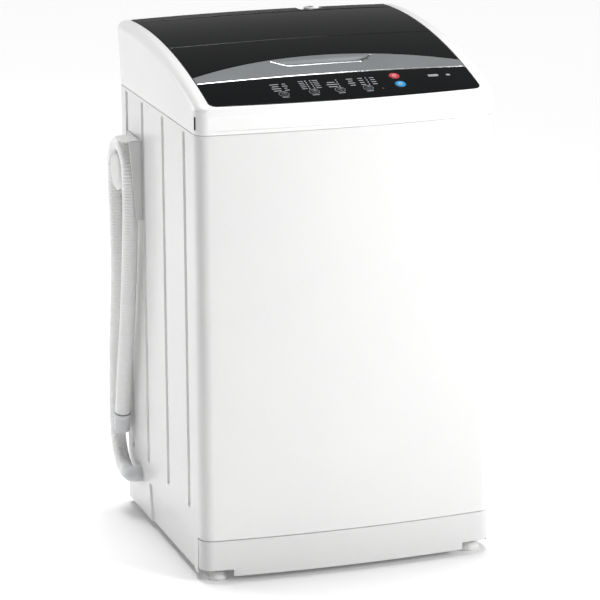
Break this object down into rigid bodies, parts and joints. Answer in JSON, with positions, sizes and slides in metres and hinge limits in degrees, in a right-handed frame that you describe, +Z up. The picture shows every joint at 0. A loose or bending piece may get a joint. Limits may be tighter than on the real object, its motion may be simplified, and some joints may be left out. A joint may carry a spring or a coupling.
{
  "type": "top load washing machine",
  "caption": "Compact top load washing machine with a bowed front, folding black lid, sloping key panel, hung tub with spin basket and pulsator, and a hooked drain hose.",
  "frame": {"origin": "on the floor, under the middle of the cabinet's box", "axes": "+Z up, +Y to the back, +X to the right seen from the front"},
  "size_m": [0.5435, 0.49, 0.867],
  "materials": {
    "white_paint": "gloss",
    "white_plastic": "satin",
    "black_gloss": "gloss",
    "silver_trim": "brushed",
    "red_key": "gloss",
    "blue_key": "gloss",
    "dark_key": "satin",
    "grey_plastic": "satin",
    "tub_plastic": "satin",
    "stainless": "brushed",
    "zinc": "satin",
    "cast": "matte",
    "rubber": "matte",
    "board": "satin",
    "hose_plastic": "satin"
  },
  "bodies": {
    "cabinet": {"cabinet_wrap": "white_paint", "rear_panel": "white_paint", "plastic_base": "white_plastic", "top_cover": "white_plastic", "mouth_collar": "white_plastic", "hose_hook": "white_plastic", "inlet_valve": "white_plastic", "lid_switch": "white_plastic", "foot_front_left": "white_plastic", "foot_rear_left": "white_plastic", "foot_rear_right": "white_plastic", "control_panel": "black_gloss", "rear_deck": "black_gloss", "drain_elbow": "grey_plastic", "hose_cuff": "grey_plastic", "inlet_spout": "grey_plastic", "pressure_switch": "grey_plastic", "capacitor": "grey_plastic", "hinge_pin_left": "stainless", "hinge_pin_right": "stainless", "suspension_spring_front_left": "stainless", "suspension_spring_front_right": "stainless", "suspension_spring_rear_left": "stainless", "suspension_spring_rear_right": "stainless", "suspension_rod_front_left": "zinc", "suspension_rod_front_right": "zinc", "suspension_rod_rear_left": "zinc", "suspension_rod_rear_right": "zinc", "cord_gland": "rubber", "drain_tube": "rubber", "control_board": "board", "drain_hose": "hose_plastic"},
    "lid_rear": {"lid_rear": "black_gloss", "fold_pin_left": "stainless", "fold_pin_right": "stainless"},
    "lid_front": {"lid_front": "black_gloss", "handle_strip": "silver_trim"},
    "power_key": {"power_key": "red_key"},
    "start_key": {"start_key": "blue_key"},
    "programme_key": {"programme_key": "dark_key"},
    "water_level_key": {"water_level_key": "dark_key"},
    "process_key": {"process_key": "dark_key"},
    "delay_key": {"delay_key": "dark_key"},
    "levelling_foot": {"foot_front_right": "white_plastic"},
    "tub": {"outer_tub": "tub_plastic", "tub_ring": "white_plastic", "mounting_plate": "zinc", "gearcase": "cast", "motor": "cast", "belt": "rubber", "drain_valve": "grey_plastic"},
    "basket": {"spin_basket": "stainless", "balance_ring": "white_plastic", "basket_hub": "cast", "lint_filter": "white_plastic"},
    "pulsator": {"pulsator": "white_plastic", "pulsator_shaft": "stainless", "pulsator_screw": "stainless"},
    "drive_pulley": {"drive_pulley": "zinc"},
    "motor_pulley": {"motor_pulley": "zinc"}
  },
  "joints": [
    {"name": "lid_lift", "type": "hinge", "parent": "cabinet", "child": "lid_rear", "pos_m": [0, 0.197, 0.85772], "axis": [-1, 0, 0], "range_deg": [0, 80]},
    {"name": "lid_fold", "type": "hinge", "parent": "lid_rear", "child": "lid_front", "pos_m": [0, 0.008, 0.83721], "axis": [-1, 0, 0], "range_deg": [-152, 0]},
    {"name": "power_key_press", "type": "slide", "parent": "cabinet", "child": "power_key", "axis": [0, 0.2695, -0.963], "range_m": [0, 0.0012], "stiffness_N_per_m": 1500, "springref_m": -0.0003},
    {"name": "start_key_press", "type": "slide", "parent": "cabinet", "child": "start_key", "axis": [0, 0.2914, -0.9566], "range_m": [0, 0.0012], "stiffness_N_per_m": 1500, "springref_m": -0.0003},
    {"name": "programme_key_press", "type": "slide", "parent": "cabinet", "child": "programme_key", "axis": [0, 0.2953, -0.9554], "range_m": [0, 0.0012], "stiffness_N_per_m": 1500, "springref_m": -0.0003},
    {"name": "water_level_key_press", "type": "slide", "parent": "cabinet", "child": "water_level_key", "axis": [0, 0.2953, -0.9554], "range_m": [0, 0.0012], "stiffness_N_per_m": 1500, "springref_m": -0.0003},
    {"name": "process_key_press", "type": "slide", "parent": "cabinet", "child": "process_key", "axis": [0, 0.2953, -0.9554], "range_m": [0, 0.0012], "stiffness_N_per_m": 1500, "springref_m": -0.0003},
    {"name": "delay_key_press", "type": "slide", "parent": "cabinet", "child": "delay_key", "axis": [0, 0.2953, -0.9554], "range_m": [0, 0.0012], "stiffness_N_per_m": 1500, "springref_m": -0.0003},
    {"name": "foot_level", "type": "slide", "parent": "cabinet", "child": "levelling_foot", "axis": [0, 0, -1], "range_m": [0, 0.01]},
    {"name": "tub_bounce", "type": "slide", "parent": "cabinet", "child": "tub", "axis": [0, 0, 1], "range_m": [-0.03, 0.012], "stiffness_N_per_m": 6000, "springref_m": 0.0315, "deforming": ["suspension_spring_front_left", "suspension_spring_front_right", "suspension_spring_rear_left", "suspension_spring_rear_right", "drain_tube"]},
    {"name": "basket_spin", "type": "hinge", "parent": "tub", "child": "basket", "pos_m": [0, 0, 0.4], "axis": [0, 0, 1], "continuous": true},
    {"name": "pulsator_spin", "type": "hinge", "parent": "basket", "child": "pulsator", "pos_m": [0, 0, 0.25], "axis": [0, 0, 1], "continuous": true},
    {"name": "pulley_spin", "type": "hinge", "parent": "tub", "child": "drive_pulley", "pos_m": [0, 0, 0.091], "axis": [0, 0, 1], "continuous": true},
    {"name": "motor_spin", "type": "hinge", "parent": "tub", "child": "motor_pulley", "pos_m": [0.138, 0, 0.091], "axis": [0, 0, 1], "continuous": true}
  ],
  "couplings": [
    {"joint": "lid_fold", "follows": "lid_lift", "ratio": -1.9},
    {"joint": "motor_spin", "follows": "pulley_spin", "ratio": 3.1}
  ]
}
